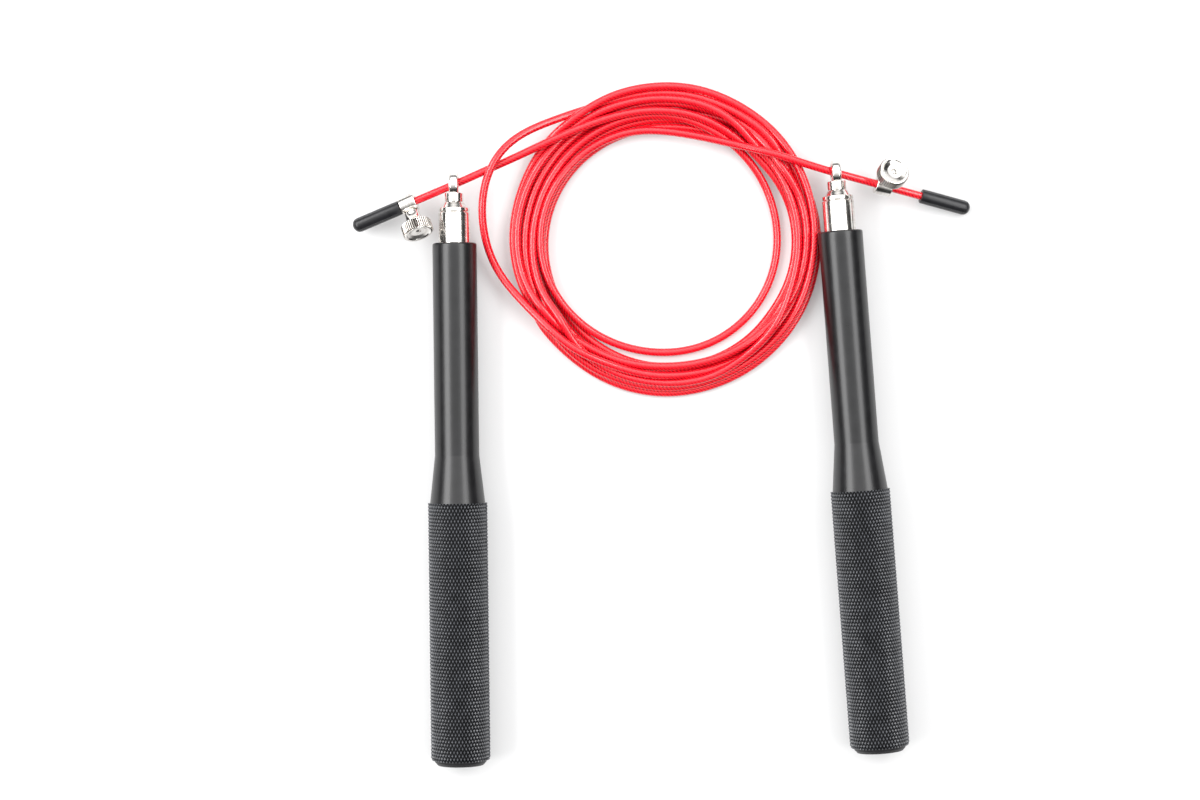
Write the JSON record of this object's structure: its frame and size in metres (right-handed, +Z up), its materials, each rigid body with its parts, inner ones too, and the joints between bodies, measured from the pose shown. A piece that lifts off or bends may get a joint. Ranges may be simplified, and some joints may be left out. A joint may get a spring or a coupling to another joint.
{
  "type": "speed jump rope",
  "caption": "Speed jump rope with slim metal handles, ball-bearing swivel eyes and a coated wire cable wound in a coil.",
  "frame": {"origin": "on the surface that the rope lies on, at the middle of the box round the two handles and their heads", "axes": "+Z up from the surface; +Y along the handles, from the butt ends towards the eyes; +X from the left handle to the right handle"},
  "size_m": [0.196, 0.2158, 0.0187],
  "materials": {
    "anodised_aluminium": "satin black anodised, finely turned and knurled",
    "black_plastic": "satin",
    "nickel_plate": "bright nickel plate",
    "bearing_steel": "ground",
    "cage_brass": "pressed",
    "plain_steel": "zinc plated",
    "soft_black_cap": "satin moulded",
    "red_cable_coating": "clear glossy coating over stranded wire"
  },
  "bodies": {
    "cable": {"cable_coil": "red_cable_coating", "cable_left_tail": "red_cable_coating", "cable_right_tail": "red_cable_coating", "left_end_cap": "soft_black_cap", "right_end_cap": "soft_black_cap"},
    "left_swivel": {"left_eye_bolt": "nickel_plate", "left_front_inner_race": "bearing_steel", "left_rear_inner_race": "bearing_steel", "left_spacer_sleeve": "plain_steel", "left_thrust_washer": "plain_steel", "left_lock_nut": "plain_steel"},
    "left_handle": {"left_handle_tube": "anodised_aluminium", "left_butt_plug": "black_plastic", "left_bearing_housing": "nickel_plate", "left_nose_cap": "nickel_plate", "left_front_outer_race": "bearing_steel", "left_rear_outer_race": "bearing_steel"},
    "left_ball_sets": {"left_front_balls": "bearing_steel", "left_rear_balls": "bearing_steel", "left_front_ball_cage": "cage_brass", "left_rear_ball_cage": "cage_brass"},
    "left_stop": {"left_stop_collar": "nickel_plate"},
    "left_screw": {"left_thumb_screw": "nickel_plate"},
    "right_swivel": {"right_eye_bolt": "nickel_plate", "right_front_inner_race": "bearing_steel", "right_rear_inner_race": "bearing_steel", "right_spacer_sleeve": "plain_steel", "right_thrust_washer": "plain_steel", "right_lock_nut": "plain_steel"},
    "right_handle": {"right_handle_tube": "anodised_aluminium", "right_butt_plug": "black_plastic", "right_bearing_housing": "nickel_plate", "right_nose_cap": "nickel_plate", "right_front_outer_race": "bearing_steel", "right_rear_outer_race": "bearing_steel"},
    "right_ball_sets": {"right_front_balls": "bearing_steel", "right_rear_balls": "bearing_steel", "right_front_ball_cage": "cage_brass", "right_rear_ball_cage": "cage_brass"},
    "right_stop": {"right_stop_collar": "nickel_plate"},
    "right_screw": {"right_thumb_screw": "nickel_plate"}
  },
  "joints": [
    {"name": "left_eye_swing", "type": "hinge", "parent": "cable", "child": "left_swivel", "pos_m": [-0.06803, 0.0878, 0.0088], "axis": [-0.9179, -0.3802, -0.1132], "range_deg": [0, 150]},
    {"name": "left_handle_spin", "type": "hinge", "parent": "left_swivel", "child": "left_handle", "pos_m": [-0.0678, 0.0693, 0.00935], "axis": [-0.0122, 0.9999, 0], "continuous": true},
    {"name": "left_ball_orbit", "type": "hinge", "parent": "left_swivel", "child": "left_ball_sets", "pos_m": [-0.0678, 0.0693, 0.00935], "axis": [-0.0122, 0.9999, 0], "continuous": true},
    {"name": "left_stop_turn", "type": "hinge", "parent": "cable", "child": "left_stop", "pos_m": [-0.08244, 0.08183, 0.00702], "axis": [-0.9179, -0.3802, -0.1132], "range_deg": [-30, 145]},
    {"name": "left_screw_turn", "type": "hinge", "parent": "left_stop", "child": "left_screw", "pos_m": [-0.08244, 0.08183, 0.00702], "axis": [0.3156, -0.8728, 0.3722], "range_deg": [0, 720]},
    {"name": "right_eye_swing", "type": "hinge", "parent": "cable", "child": "right_swivel", "pos_m": [0.05248, 0.09155, 0.0088], "axis": [-0.9579, 0.246, 0.1478], "range_deg": [0, 150]},
    {"name": "right_handle_spin", "type": "hinge", "parent": "right_swivel", "child": "right_handle", "pos_m": [0.0539, 0.0731, 0.00935], "axis": [-0.0767, 0.9971, 0], "continuous": true},
    {"name": "right_ball_orbit", "type": "hinge", "parent": "right_swivel", "child": "right_ball_sets", "pos_m": [0.0539, 0.0731, 0.00935], "axis": [-0.0767, 0.9971, 0], "continuous": true},
    {"name": "right_stop_slide", "type": "slide", "parent": "cable", "child": "right_stop", "axis": [0.9579, -0.246, -0.1478], "range_m": [-0.0015, 0.0095]},
    {"name": "right_screw_turn", "type": "hinge", "parent": "right_stop", "child": "right_screw", "pos_m": [0.06781, 0.08761, 0.00643], "axis": [0.2319, 0.3604, 0.9035], "range_deg": [0, 720]}
  ],
  "couplings": [
    {"joint": "left_ball_orbit", "follows": "left_handle_spin", "ratio": 0.6351},
    {"joint": "right_ball_orbit", "follows": "right_handle_spin", "ratio": 0.6351}
  ]
}
